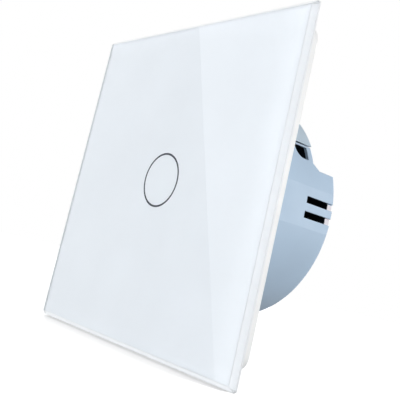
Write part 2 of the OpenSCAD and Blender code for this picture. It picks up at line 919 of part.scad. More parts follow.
module board_socket() {
    color([0.16, 0.16, 0.17])
        difference() {
            block_at(0, connector_z, header_l, connector_w, header_rear_y, power_front_y);
            slab(header_rear_y - cut, header_rear_y + pin_len + pin_clear / 2)
                at_pins()
                    square(pin_w + 2 * pin_clear, center = true);
        }
}

module power_board() {
    leg_z = well_z + strip_leg_t / 2;
    color([0.12, 0.42, 0.25])
        slab(power_front_y, power_rear_y)
            difference() {
                intersection() {
                    circle(power_board_r);
                    square([2 * (flat_x - drum_wall - power_board_clear), drum_d], center = true);
                }
                at_plate_screws()
                    circle(boss_r + notch_clear);
                for (x = pole_x)
                    translate([x, leg_z])
                        square(
                            [strip_pin_w + 2 * strip_pin_clear, strip_leg_t + 2 * strip_pin_clear],
                            center = true
                        );
            }
}

module relay() {
    color([0.15, 0.33, 0.62])
        block_at(0, relay_z, relay_l, relay_w, power_rear_y, power_rear_y + relay_h);
}

module film_capacitor() {
    color([0.80, 0.62, 0.20])
        block_at(film_x, film_z, film_l, film_w, power_rear_y, power_rear_y + film_h);
}

module smoothing_capacitor() {
    color([0.16, 0.17, 0.24])
        bar(can_x, can_z, can_r, power_rear_y, power_rear_y + can_h);
}

module bridge_rectifier() {
    color([0.12, 0.12, 0.13])
        block_at(bridge_x, bridge_z, bridge_l, bridge_w, power_rear_y, power_rear_y + bridge_h);
}

module varistor() {
    middle_y = power_rear_y + stand_off + varistor_r;
    color([0.16, 0.42, 0.62]) {
        translate([varistor_x - varistor_t / 2, middle_y, varistor_z])
            rotate([0, 90, 0])
                cylinder(h = varistor_t, r = varistor_r);
        for (s = [-1, 1])
            bar(varistor_x + s * varistor_t / 5, varistor_z + s * varistor_r / 2, lead_r, power_rear_y, middle_y);
    }
}

module fuse_resistor() {
    middle_y = power_rear_y + stand_off + fuse_r;
    lead_x = fuse_l / 2 + 2 * lead_r;
    color([0.55, 0.68, 0.62])
        translate([fuse_x, 0, fuse_z]) {
            translate([-fuse_l / 2, middle_y, 0])
                rotate([0, 90, 0])
                    cylinder(h = fuse_l, r = fuse_r);
            translate([-lead_x, middle_y, 0])
                rotate([0, 90, 0])
                    cylinder(h = 2 * lead_x, r = lead_r);
            for (s = [-1, 1])
                bar(s * lead_x, 0, lead_r, power_rear_y, middle_y + lead_r);
        }
}

module terminal_block() {
    well_w = cage_w + 2 * cage_clear;
    well_h = well_top_z - well_z;
    color([0.72, 0.78, 0.83])
        difference() {
            intersection() {
                drum(power_rear_y, block_rear_y, block_round);
                translate([-drum_r, block_rear_y, block_z])
                    rotate([90, 0, 90])
                        linear_extrude(height = drum_d)
                            mirror([1, 0])
                                corner_rect(block_rear_y - power_rear_y, block_top_z - block_z, block_round);
            }
            for (x = pole_x) {
                block_at(x, well_z + well_h / 2, well_w, well_h, power_rear_y - cut, well_rear_y);
                bar(x, cage_z, clamp_head_r + clamp_head_clear, well_rear_y - cut, block_in_y);
                bar(x, cage_z, driver_r, block_in_y - cut, block_rear_y + cut);
                translate([x, entry_y, well_top_z - cut])
                    cylinder(h = block_roof + 2 * cut, r = entry_r);
            }
        }
}

module terminal_strips() {
    strip_h = well_top_z - cage_clear - well_z;
    color([0.80, 0.66, 0.34])
        for (x = pole_x) {
            block_at(x, well_z + strip_h / 2, strip_w, strip_h, strip_front_y, strip_rear_y);
            block_at(x, well_z + strip_leg_t / 2, strip_pin_w, strip_leg_t, power_front_y, strip_front_y);
        }
}

// A clamp cage at pole i: a tube along Z with a threaded wall towards the rear
module terminal_cage(i) {
    color([0.76, 0.76, 0.74])
        difference() {
            block_at(pole_x[i], cage_z, cage_w, cage_h, cage_front_y, thread_rear_y);
            block_at(
                pole_x[i], cage_z, cage_w - 2 * cage_wall, cage_h + 2 * cut, clamp_floor_y, thread_front_y
            );
            bar(pole_x[i], cage_z, clamp_shank_r + clamp_clear, thread_front_y - cut, thread_rear_y + cut);
        }
}

// A clamp screw at pole i, with its slotted head towards the rear
module terminal_screw(i) {
    color([0.78, 0.76, 0.70])
        difference() {
            union() {
                bar(pole_x[i], cage_z, clamp_shank_r, strip_rear_y + clamp_tip_gap, head_front_y);
                bar(pole_x[i], cage_z, clamp_head_r, head_front_y, head_rear_y);
            }
            block_at(
                pole_x[i], cage_z, 2 * clamp_head_r + cut, driver_slot_w,
                head_rear_y - driver_slot_d, head_rear_y + cut
            );
        }
}

glass_panel();
back_print();
touch_ring();
panel_tape();
panel_frame();
mounting_plate();
plate_screws();
base_housing();
touch_cover();
light_guide();
touch_spring();
touch_board();
indicator_leds();
touch_chip();
chip_passives();
board_header();
board_socket();
power_board();
relay();
film_capacitor();
smoothing_capacitor();
bridge_rectifier();
varistor();
fuse_resistor();
terminal_block();
terminal_strips();
terminal_cage(0);  // terminal_cage_left
terminal_cage(1);  // terminal_cage_middle
terminal_cage(2);  // terminal_cage_right
terminal_screw(0);  // terminal_screw_left
terminal_screw(1);  // terminal_screw_middle
terminal_screw(2);  // terminal_screw_right
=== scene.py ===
"""Touch light switch: the looks, the stage and the camera for the packed model."""

import math

import bmesh
import bpy
from bpy.props import FloatProperty, FloatVectorProperty, IntProperty, PointerProperty
from mathutils import Matrix, Vector


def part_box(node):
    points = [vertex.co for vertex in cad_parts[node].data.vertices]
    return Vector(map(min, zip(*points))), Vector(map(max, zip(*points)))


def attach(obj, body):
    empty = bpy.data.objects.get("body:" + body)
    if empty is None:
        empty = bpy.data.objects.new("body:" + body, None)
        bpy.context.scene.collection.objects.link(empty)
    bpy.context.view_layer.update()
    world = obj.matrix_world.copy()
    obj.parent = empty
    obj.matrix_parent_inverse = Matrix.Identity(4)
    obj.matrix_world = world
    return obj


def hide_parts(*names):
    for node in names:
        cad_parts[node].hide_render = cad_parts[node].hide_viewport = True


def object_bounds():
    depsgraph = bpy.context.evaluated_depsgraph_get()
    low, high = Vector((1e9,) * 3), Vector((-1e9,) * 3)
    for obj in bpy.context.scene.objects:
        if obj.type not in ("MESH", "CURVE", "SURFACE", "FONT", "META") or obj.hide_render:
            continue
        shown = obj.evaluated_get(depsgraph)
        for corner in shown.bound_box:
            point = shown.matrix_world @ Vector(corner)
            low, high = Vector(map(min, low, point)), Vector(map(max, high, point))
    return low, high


bl_info = {
    "name": "Touch light switch",
    "version": (1, 0, 0),
    "blender": (4, 5, 0),
    "location": "View3D > Sidebar > Switch",
    "description": "Dresses the packed touch light switch and sets its stage",
    "category": "Object",
}

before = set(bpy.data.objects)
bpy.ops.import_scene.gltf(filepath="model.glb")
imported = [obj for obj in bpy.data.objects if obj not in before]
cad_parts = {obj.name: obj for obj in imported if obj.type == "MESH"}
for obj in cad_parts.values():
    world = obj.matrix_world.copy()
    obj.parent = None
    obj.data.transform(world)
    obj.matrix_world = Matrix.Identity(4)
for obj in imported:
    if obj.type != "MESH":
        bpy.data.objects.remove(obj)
CAD_BOX = [list(corner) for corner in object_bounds()]
INTO_WALL = Vector((0, 1, 0))
TO_ROOM = Vector((0, -1, 0))
ACROSS = Vector((1, 0, 0))
UPWARD = Vector((0, 0, 1))
X, Y, Z = range(3)
POLES = ("left", "middle", "right")

# Distances under which points become one, points share a plane, and a face counts as found
MERGE = 1e-7
HAIR = 1e-5
SLACK = 1e-4

# Shares of a face's direction along an axis that count as facing it and as turned away from it
FACING = 0.9
TURNED = 0.1

# Least angle at an edge of the glass that is ground
SHARP = math.radians(30)

# Steps round a thin lead, a round body and a wide ring
THIN, BODY, WIDE = 12, 48, 120

# Place, aim, direction of the second side, and both sides of each lamp
LAMPS = {
    "window": ((-0.1968, -0.289, 0.1142), INTO_WALL, (-0.391, 0, 0.920), (0.30, 0.534)),
    "side": ((0.40, 0.20, 0.05), (-0.37, -0.18, -0.05), INTO_WALL, (0.1, 0.25)),
    "front": ((0.2, -0.87, 0.15), (-0.2, 0.87, -0.15), UPWARD, (0.6, 0.6)),
    "back": ((-0.48, 0.45, 0.10), (0.48, -0.45, -0.10), UPWARD, (0.4, 0.2)),
}


# Settings that a user would change


def length(name, description, default):
    """A size in metres, shown with its unit."""
    return FloatProperty(name=name, description=description, default=default, unit="LENGTH", precision=5)


def turn(name, description, degrees):
    """An angle, stored in radians."""
    return FloatProperty(name=name, description=description, default=math.radians(degrees), subtype="ANGLE")


def colour(name, description, default):
    """A linear colour."""
    return FloatVectorProperty(
        name=name, description=description, default=default, size=3, min=0, max=1, subtype="COLOR"
    )


def strength(name, description, default):
    """A plain number that isn't negative."""
    return FloatProperty(name=name, description=description, default=default, min=0)


def place(name, description, default):
    """A point in the model's frame, in metres."""
    return FloatVectorProperty(name=name, description=description, default=default, size=3, subtype="XYZ")


class SwitchGlass(bpy.types.PropertyGroup):
    """Sizes and colours of the glass panel"""

    bevel: length("Bevel", "Width of the polished bevel along the front edges", 0.0011)
    back_bevel: length("Back bevel", "Width of the smaller bevel along the back edges", 0.0006)
    corner: length("Corner", "Radius of the upright corner edges", 0.001)
    arris: length("Arris", "Width of the ground line along each sharp edge", 0.00004)
    bond: length("Bond", "How far the glass sinks into the print, so that no air lies between", 0.00005)
    tint: colour("Tint", "Colour of the glass in depth", (0.97, 0.985, 0.99))
    sparkle: strength("Sparkle", "Index of the bevels' polish, which mirrors more as it grows", 3.2)
    backing: colour("Backing", "White print behind the glass", (0.785, 0.818, 0.857))
    ground: colour("Ground edge", "Grey of the ground edges and corners", (0.90, 0.92, 0.94))
    # Partly painted shade: the back bevel is ground glass, given a darker grey than the other ground edges
    # so that a grey line shows along the edges through the glass.
    ground_back_shade: colour("Ground back", "Grey of the ground bevel along the back edges", (0.62, 0.65, 0.67))
    ring: colour("Ring", "Printed touch ring", (0.006, 0.014, 0.032))
    lap: length("Ring lap", "How far the ring's ink laps over the white print on both sides", 0.000035)
    film: length("Ring film", "Thickness of the ink where it laps over the print", 0.00002)
    adhesive: colour("Adhesive", "Foam tape behind the print", (0.62, 0.61, 0.57))


class SwitchPlastics(bpy.types.PropertyGroup):
    """Colours and surface of the moulded pieces"""

    housing: colour("Housing", "Satin blue of the wall-box housing", (0.48, 0.615, 0.765))
    # Painted shade: this near black is painted on the faces within the housing's walls, where the housing's
    # own blue lies in shade; the wall, back, shelf and bay sizes bound where it is painted.
    inside: colour("Inside", "Dark inside of the wall-box housing", (0.012, 0.018, 0.028))
    wall: length("Wall", "Depth in the housing's side wall where the openings turn dark", 0.0008)
    back: length("Back", "Thickness of the housing's rear wall", 0.0016)
    groove: length("Groove", "Distance of the vent grooves' floors from the middle", 0.02678)
    # Painted light: the vent grooves' floors by the rear rim are painted pale, lighter than the housing's
    # own blue.
    groove_painted_light: colour("Groove floor", "Pale floors of the vent grooves", (0.80, 0.76, 0.80))
    vents: length("Vents", "Reach of the vent grooves above and below the middle", 0.003)
    shelf: length("Shelf", "Height of the wiring shelf's underside above the centre", 0.0084)
    bay: length("Bay", "Distance of the wiring bay's inner wall from the rear face", 0.0094)
    block: colour("Terminal block", "Grey blue of the terminal block", (0.515, 0.635, 0.735))
    white: colour("White", "Panel frame and touch cover", (0.92, 0.925, 0.92))
    clear: colour("Light guide", "Frosted plastic of the light guide", (0.86, 0.89, 0.91))
    black: colour("Black", "Chips and connectors", (0.018, 0.018, 0.02))
    grain: length("Grain", "Size of the moulded surface's grain", 0.0002)
    edge: length("Edge", "Softness of the moulded edges", 0.0002)
    shine: strength("Shine", "Specular level of the housing", 0.35)


class SwitchMetals(bpy.types.PropertyGroup):
    """Colours and threads of the metal pieces"""

    plate: colour("Plate", "Zinc on the mounting plate", (0.56, 0.57, 0.58))
    screw: colour("Screws", "Zinc on the screws", (0.62, 0.60, 0.55))
    cage: colour("Cages", "Plating on the clamp cages", (0.58, 0.57, 0.54))
    brass: colour("Brass", "Contact strips", (0.62, 0.43, 0.16))
    wire: colour("Spring wire", "Touch spring", (0.60, 0.57, 0.50))
    plate_pitch: length("Plate screw pitch", "Thread pitch of the plate screws", 0.0011)
    clamp_pitch: length("Clamp screw pitch", "Thread pitch of the clamp screws", 0.0005)
    thread_depth: length("Thread depth", "Depth of the threads", 0.00025)
    slot: length("Slot", "Width of the clamp screws' driver slots", 0.0008)
    spring_wire: length("Spring wire radius", "Radius of the touch spring's wire", 0.00025)
    spring_turns: IntProperty(
        name="Spring turns", description="Turns of the touch spring", default=4, min=1
    )


class SwitchBoards(bpy.types.PropertyGroup):
    """Colours of the circuit boards and of what is soldered on them"""

    mask: colour("Solder mask", "Green of the circuit boards", (0.012, 0.105, 0.045))
    tin: colour("Tin", "Soldered legs and ends", (0.55, 0.55, 0.54))
    relay: colour("Relay", "Relay case", (0.022, 0.085, 0.33))
    film: colour("Film capacitor", "Film capacitor's case", (0.60, 0.34, 0.035))
    sleeve: colour("Sleeve", "Sleeve of the smoothing capacitor", (0.018, 0.02, 0.045))
    can: colour("Can", "Bare top of the smoothing capacitor", (0.62, 0.63, 0.64))
    varistor: colour("Varistor", "Dipped coat of the varistor", (0.02, 0.14, 0.33))
    resistor: colour("Resistor", "Coat of the fusible resistor", (0.26, 0.42, 0.35))
    band: colour("Bands", "Bands of the fusible resistor", (0.20, 0.035, 0.02))
    ceramic: colour("Ceramic", "Small passives", (0.17, 0.105, 0.06))
    lamp: colour("Lamps", "Indicator lamps", (0.88, 0.80, 0.50))
    lamp_ends: colour("Lamp ends", "Ends of the indicator lamps", (0.8, 0.8, 0.78))
    lead: length("Leads", "Radius of the soldered leads", 0.00035)


class SwitchStage(bpy.types.PropertyGroup):
    """Camera, lamps and floor"""

    camera: place("Camera", "Place of the camera", (0.135781, -0.100113, -0.019334))
    azimuth: turn("Azimuth", "Turn of the view about the upright", 51.347)
    elevation: turn("Elevation", "Height of the view, below level where negative", -8.4)
    roll: turn("Roll", "Tilt of the picture", 13.081)
    lens: FloatProperty(name="Lens", description="Focal length in millimetres", default=62.11, min=1)
    sensor: FloatProperty(name="Sensor", description="Sensor width in millimetres", default=36, min=1)
    shift_x: FloatProperty(name="Shift X", description="Sideways shift of the frame", default=-0.025)
    shift_y: FloatProperty(name="Shift Y", description="Upright shift of the frame", default=-0.075)
    window: strength("Window", "Power of the lamp that the glass mirrors, in watts", 0.34)
    side: strength("Side", "Power of the lamp on the right, in watts", 1.3)
    front: strength("Front", "Power of the lamp in front, in watts", 2.36)
    back: strength("Back", "Power of the lamp behind, in watts", 1.1)
    ambient: strength("Ambient", "Strength of the light from all sides", 0.2)
    room: colour("Room", "Colour of the light from all sides", (0.96, 0.98, 1.0))
    floor_size: length("Floor size", "Half of the floor's width", 2.0)
    floor_gap: length("Floor gap", "Distance of the floor below the panel", 0.0001)
    floor_tone: strength("Floor tone", "Share of its light that the floor throws back", 0.36)
    # Painted shadow: beside the glass the floor adds less white for the camera, rising to the far white;
    # these settings shape that painted contact shadow.
    painted_shadow_white: strength("Floor near", "White that the floor adds for the camera beside the glass", 0.42)
    floor_far: strength("Floor far", "White that the floor adds for the camera further off", 1.0)
    painted_shadow_curve: strength("Floor curve", "Power that shapes the floor's turn to white", 0.4)
    painted_shadow_reach: length("Floor fade", "Distance from the glass where the floor is all white", 0.014)
    painted_shadow_inset: length("Floor inset", "Length at each end of the glass that fades to white", 0.0025)
    painted_shadow_taper: strength("Floor taper", "How fast the floor's dark part narrows away from the glass", 2)


# Materials


def finish(name):
    """A new material with its node tree and its shader."""
    material = bpy.data.materials.new(name)
    material.use_nodes = True
    return material, material.node_tree, material.node_tree.nodes["Principled BSDF"]


def surface_point(tree, stretch=None):
    """The point on the piece, in metres, stretched along its axes where asked."""
    coordinates = tree.nodes.new("ShaderNodeTexCoord")
    if stretch is None:
        return coordinates.outputs["Object"]
    mapping = tree.nodes.new("ShaderNodeMapping")
    mapping.inputs["Scale"].default_value = stretch
    tree.links.new(coordinates.outputs["Object"], mapping.inputs["Vector"])
    return mapping.outputs["Vector"]


def noise(tree, size, detail=2.0, stretch=None):
    """Soft random patches of about the given size in metres."""
    texture = tree.nodes.new("ShaderNodeTexNoise")
    texture.inputs["Scale"].default_value = 1 / size
    texture.inputs["Detail"].default_value = detail
    tree.links.new(surface_point(tree, stretch), texture.inputs["Vector"])
    return texture.outputs[0]


def spread(tree, value, low, high, start=0.3, end=0.7):
    """A value from the noise range mapped to low and high."""
    ranged = tree.nodes.new("ShaderNodeMapRange")
    for socket, number in (("From Min", start), ("From Max", end), ("To Min", low), ("To Max", high)):
        ranged.inputs[socket].default_value = number
    tree.links.new(value, ranged.inputs["Value"])
    return ranged.outputs["Result"]


def tones(tree, value, dark, light, start=0.3, end=0.7):
    """A colour between two tones, by a value."""
    ramp = tree.nodes.new("ShaderNodeValToRGB")
    ramp.color_ramp.elements[0].position = start
    ramp.color_ramp.elements[0].color = (*dark, 1)
    ramp.color_ramp.elements[1].position = end
    ramp.color_ramp.elements[1].color = (*light, 1)
    tree.links.new(value, ramp.inputs["Fac"])
    return ramp.outputs["Color"]


def shades(rgb, amount):
    """A darker and a lighter tone of a colour."""
    return [tuple(min(1.0, channel * factor) for channel in rgb) for factor in (1 - amount, 1 + amount)]


def relief(tree, height, depth, edge=0.0):
    """A surface normal from a height, with softened edges where asked."""
    bump = tree.nodes.new("ShaderNodeBump")
    bump.inputs["Distance"].default_value = depth
    tree.links.new(height, bump.inputs["Height"])
    if edge:
        rounding = tree.nodes.new("ShaderNodeBevel")
        rounding.samples = 6
        rounding.inputs["Radius"].default_value = edge
        tree.links.new(rounding.outputs["Normal"], bump.inputs["Normal"])
    return bump.outputs["Normal"]


def choose(tree, share, first, second):
    """A colour that is the first where the share is 0 and the second where it is 1."""
    mix = tree.nodes.new("ShaderNodeMix")
    mix.data_type = "RGBA"
    tree.links.new(share, mix.inputs[0])
    for socket, source in ((mix.inputs[6], first), (mix.inputs[7], second)):
        if isinstance(source, tuple):
            socket.default_value = (*source, 1)
        else:
            tree.links.new(source, socket)
    return mix.outputs[2]


def along(tree, axis):
    """The X, Y or Z of the point on the piece."""
    split = tree.nodes.new("ShaderNodeSeparateXYZ")
    tree.links.new(surface_point(tree), split.inputs[0])
    return split.outputs[axis]


def compute(tree, operation, first, second=None):
    """One step of arithmetic on sockets or numbers."""
    node = tree.nodes.new("ShaderNodeMath")
    node.operation = operation
    for socket, source in zip(node.inputs, (first, second)):
        if source is None:
            continue
        if isinstance(source, (int, float)):
            socket.default_value = source
        else:
            tree.links.new(source, socket)
    return node.outputs[0]


def away(tree, axis, middle):
    """How far a point lies from the middle along an axis, on either side."""
    return compute(tree, "ABSOLUTE", compute(tree, "SUBTRACT", along(tree, axis), middle))


def past(tree, axis, middle, reach):
    """1 where a point lies further than the reach from the middle along an axis, and 0 elsewhere."""
    return compute(tree, "GREATER_THAN", away(tree, axis, middle), reach)


def seen_ray(tree):
    """1 for rays from the camera, or mirrored or passed by glass, and 0 for rays that light things."""
    rays = tree.nodes.new("ShaderNodeLightPath")
    mirrored = compute(tree, "MAXIMUM", rays.outputs["Is Glossy Ray"], rays.outputs["Is Transmission Ray"])
    return compute(tree, "MAXIMUM", rays.outputs["Is Camera Ray"], mirrored)


def moulded(name, rgb, grain, edge, rough=(0.42, 0.56), depth=4e-6, amount=0.025, shine=0.5):
    """Satin moulded plastic: fine grain, faint clouding and softened edges."""
    material, tree, shader = finish(name)
    links = tree.links
    links.new(tones(tree, noise(tree, 0.012, 3), *shades(rgb, amount)), shader.inputs["Base Color"])
    links.new(spread(tree, noise(tree, 0.004, 3), *rough), shader.inputs["Roughness"])
    links.new(relief(tree, noise(tree, grain, 1), depth, edge), shader.inputs["Normal"])
    shader.inputs["Specular IOR Level"].default_value = shine
    return material


def housing_with_painted_shade(name, look, radius, rear):
    """The housing's plastic, with painted shade on the faces within its walls and painted light on the vent
    grooves' floors by the rear rim.
    """
    material = moulded(name, look.housing, look.grain, look.edge, shine=look.shine)
    tree = material.node_tree
    shader = tree.nodes["Principled BSDF"]
    # Painted shade: faces within the walls, ahead of the rear wall and outside the open wiring bay, are
    # painted the near-black colour.
    x, y, z = (along(tree, axis) for axis in (X, Y, Z))
    squares = [compute(tree, "POWER", offset, 2) for offset in (x, z)]
    off_axis = compute(tree, "SQRT", compute(tree, "ADD", *squares))
    within = compute(tree, "LESS_THAN", off_axis, radius - look.wall + SLACK)
    ahead = compute(tree, "LESS_THAN", y, rear - look.back + SLACK)
    over_shelf = compute(tree, "SUBTRACT", z, look.shelf + SLACK)
    past_bay = compute(tree, "SUBTRACT", y, rear - look.bay + SLACK)
    closed = compute(tree, "LESS_THAN", compute(tree, "MINIMUM", over_shelf, past_bay), 0)
    inner = compute(tree, "MULTIPLY", compute(tree, "MULTIPLY", within, ahead), closed)
    # Painted light: the vent grooves' floors behind the rear wall's inner face are painted a pale colour.
    off_floor = compute(tree, "SUBTRACT", compute(tree, "ABSOLUTE", x), look.groove)
    on_floor = compute(tree, "LESS_THAN", compute(tree, "ABSOLUTE", off_floor), SLACK)
    level = compute(tree, "LESS_THAN", compute(tree, "ABSOLUTE", z), look.vents)
    behind = compute(tree, "SUBTRACT", 1, ahead)
    groove_light_mask = compute(tree, "MULTIPLY", compute(tree, "MULTIPLY", on_floor, level), behind)
    outer = shader.inputs["Base Color"].links[0].from_socket
    outer = choose(tree, groove_light_mask, outer, tuple(look.groove_painted_light))
    tree.links.new(choose(tree, inner, outer, tuple(look.inside)), shader.inputs["Base Color"])
    return material


def plated(name, rgb, rough=(0.24, 0.4), stretch=(1, 1, 1), size=0.0004, depth=3e-6):
    """Plated or bright metal with drawing marks along the least stretched axis."""
    material, tree, shader = finish(name)
    links = tree.links
    links.new(tones(tree, noise(tree, 0.003, 4), *shades(rgb, 0.07)), shader.inputs["Base Color"])
    links.new(spread(tree, noise(tree, 0.0012, 3), *rough), shader.inputs["Roughness"])
    links.new(relief(tree, noise(tree, size, 2, stretch), depth), shader.inputs["Normal"])
    shader.inputs["Metallic"].default_value = 1
    return material


def dipped(name, rgb, rough=(0.2, 0.34), size=0.0015, depth=2e-5):
    """A glossy cast or dipped coat with a soft orange peel."""
    material, tree, shader = finish(name)
    links = tree.links
    links.new(tones(tree, noise(tree, 0.004, 3), *shades(rgb, 0.08)), shader.inputs["Base Color"])
    links.new(spread(tree, noise(tree, 0.002, 2), *rough), shader.inputs["Roughness"])
    links.new(relief(tree, noise(tree, size, 1), depth), shader.inputs["Normal"])
    return material


def clear_glass(name, tint, mirror=1.0):
    """Polished clear glass with a faint ripple, and a coat that mirrors more where asked."""
    material, tree, shader = finish(name)
    links = tree.links
    links.new(tones(tree, noise(tree, 0.03, 2), *shades(tint, 0.006)), shader.inputs["Base Color"])
    links.new(spread(tree, noise(tree, 0.006, 4), 0.0, 0.02), shader.inputs["Roughness"])
    links.new(relief(tree, noise(tree, 0.02, 1), 2e-7), shader.inputs["Normal"])
    shader.inputs["Transmission Weight"].default_value = 1
    shader.inputs["IOR"].default_value = 1.5
    if mirror > 1:
        shader.inputs["Coat Weight"].default_value = 1
        shader.inputs["Coat IOR"].default_value = mirror
    return material


def screen_print(name, rgb, amount=0.012, gloss=0.5):
    """Screen-printed ink with the mesh's fine tooth; ink that is bonded to glass has no gloss."""
    material, tree, shader = finish(name)
    links = tree.links
    shader.inputs["Specular IOR Level"].default_value = gloss
    links.new(tones(tree, noise(tree, 0.015, 2), *shades(rgb, amount)), shader.inputs["Base Color"])
    links.new(spread(tree, noise(tree, 0.002, 2), 0.5, 0.62), shader.inputs["Roughness"])
    links.new(relief(tree, noise(tree, 0.00012, 1), 2e-6), shader.inputs["Normal"])
    return material


def solder_mask(name, rgb):
    """A lacquered circuit board with copper tracks showing through as a lighter green."""
    material, tree, shader = finish(name)
    links = tree.links
    cells = tree.nodes.new("ShaderNodeTexBrick")
    for socket, number in (
        ("Scale", 1), ("Brick Width", 0.0042), ("Row Height", 0.0013), ("Mortar Size", 0.00018),
        ("Mortar Smooth", 0.1),
    ):
        cells.inputs[socket].default_value = number
    upright = tree.nodes.new("ShaderNodeMapping")
    upright.inputs["Rotation"].default_value = (math.pi / 2, 0, 0)
    links.new(surface_point(tree), upright.inputs["Vector"])
    links.new(upright.outputs["Vector"], cells.inputs["Vector"])
    patches = compute(tree, "GREATER_THAN", noise(tree, 0.008, 0), 0.48)
    track = compute(tree, "MULTIPLY", cells.outputs["Fac"], patches)
    base = tones(tree, noise(tree, 0.01, 2), *shades(rgb, 0.1))
    copper = tuple(min(1.0, channel * 2.2) for channel in rgb)
    links.new(choose(tree, track, base, copper), shader.inputs["Base Color"])
    links.new(spread(tree, noise(tree, 0.002, 2), 0.22, 0.36), shader.inputs["Roughness"])
    links.new(relief(tree, track, 2e-5), shader.inputs["Normal"])
    return material


def two_part(name, rgb, tip, axis, middle, reach, metal=1.0, rough=(0.4, 0.55)):
    """A body of one finish whose ends past a reach have another, such as tinned ends."""
    material, tree, shader = finish(name)
    links = tree.links
    ends = past(tree, axis, middle, reach)
    body = tones(tree, noise(tree, 0.002, 3), *shades(rgb, 0.1))
    links.new(choose(tree, ends, body, tuple(tip)), shader.inputs["Base Color"])
    if metal:
        links.new(ends, shader.inputs["Metallic"])
    links.new(spread(tree, noise(tree, 0.001, 3), *rough), shader.inputs["Roughness"])
    links.new(relief(tree, noise(tree, 0.0002, 1), 3e-6), shader.inputs["Normal"])
    return material


# Shapes


def dress(node, material):
    """Gives a packed node a material in each of its slots."""
    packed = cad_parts[node]
    if not packed.material_slots:
        packed.data.materials.append(material)
    for holder in packed.material_slots:
        holder.material = material


def settle(shape, name, body, node, materials, angle=35):
    """Turns a shape into a finished piece that rides on a body and stands for a node."""
    bmesh.ops.remove_doubles(shape, verts=shape.verts, dist=MERGE)
    bmesh.ops.recalc_face_normals(shape, faces=shape.faces)
    mesh = bpy.data.meshes.new(name)
    shape.to_mesh(mesh)
    shape.free()
    for material in materials:
        mesh.materials.append(material)
    if angle:
        mesh.shade_smooth()
        mesh.set_sharp_from_angle(angle=math.radians(angle))
    piece = bpy.data.objects.new(name, mesh)
    bpy.context.scene.collection.objects.link(piece)
    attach(piece, body)
    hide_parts(node)
    return piece


def middle_of(node):
    """The middle of a packed node, and its size."""
    low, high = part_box(node)
    return (low + high) / 2, high - low


def block(shape, centre, size):
    """A box, given by its middle and its size."""
    placed = Matrix.Translation(centre) @ Matrix.Diagonal((*size, 1))
    return bmesh.ops.create_cube(shape, size=1, matrix=placed)["verts"]


def soften(shape, edges, width, segments=2):
    """Rounds edges, and gives the new faces."""
    made = bmesh.ops.bevel(
        shape, geom=list(edges), offset=width, offset_type="OFFSET", segments=segments, profile=0.5,
        affect="EDGES", clamp_overlap=True, material=-1,
    )
    return made["faces"]


def soft_block(shape, centre, size, width, segments=3):
    """A box with every edge rounded."""
    verts = block(shape, centre, size)
    edges = {edge for vert in verts for edge in vert.link_edges}
    soften(shape, edges, width, segments)


def lathe(shape, profile, centre, axis, steps=40):
    """Spins a line of (radius, distance) points right round an axis."""
    side = axis.orthogonal().normalized()
    verts = [shape.verts.new(centre + side * radius + axis * reach) for radius, reach in profile]
    edges = [shape.edges.new(pair) for pair in zip(verts, verts[1:])]
    bmesh.ops.spin(
        shape, geom=verts + edges, cent=centre, axis=axis, angle=math.tau, steps=steps, use_merge=True
    )


def coil(shape, start, centre, axis, ring, pitch, turns, steps):
    """Winds a closed ring of points about an axis, and closes both ends."""
    verts = [shape.verts.new(start + point) for point in ring]
    edges = [shape.edges.new((vert, verts[i - 1])) for i, vert in enumerate(verts)]
    bmesh.ops.spin(
        shape, geom=verts + edges, cent=centre, axis=axis, dvec=axis * (pitch / steps),
        angle=math.tau * turns, steps=round(steps * turns),
    )
    bmesh.ops.holes_fill(shape, edges=[edge for edge in shape.edges if edge.is_boundary], sides=0)


def thread(shape, foot, axis, radius, depth, pitch, reach):
    """A screw thread wound round a shank from its foot."""
    side = axis.orthogonal().normalized()
    sunk = side * (radius - 1.3 * depth)
    flank = axis * pitch * 0.42
    lead_in = pitch * 0.45
    turns = (reach - 2 * lead_in) / pitch
    tooth = [sunk - flank, side * radius, sunk + flank]
    coil(shape, foot + axis * lead_in, foot, axis, tooth, pitch, turns, 20)


def carve(piece, cutter):
    """Cuts one shape out of a piece for good."""
    mesh = bpy.data.meshes.new("cutter")
    bmesh.ops.recalc_face_normals(cutter, faces=cutter.faces)
    cutter.to_mesh(mesh)
    cutter.free()
    tool = bpy.data.objects.new("cutter", mesh)
    bpy.context.scene.collection.objects.link(tool)
    cut = piece.modifiers.new("cut", "BOOLEAN")
    cut.operation = "DIFFERENCE"
    cut.solver = "EXACT"
    cut.use_self = True
    cut.object = tool
    bpy.context.view_layer.update()
    done = bpy.data.meshes.new_from_object(piece.evaluated_get(bpy.context.evaluated_depsgraph_get()))
    piece.modifiers.clear()
    piece.data = done
    bpy.data.objects.remove(tool)


# Operators


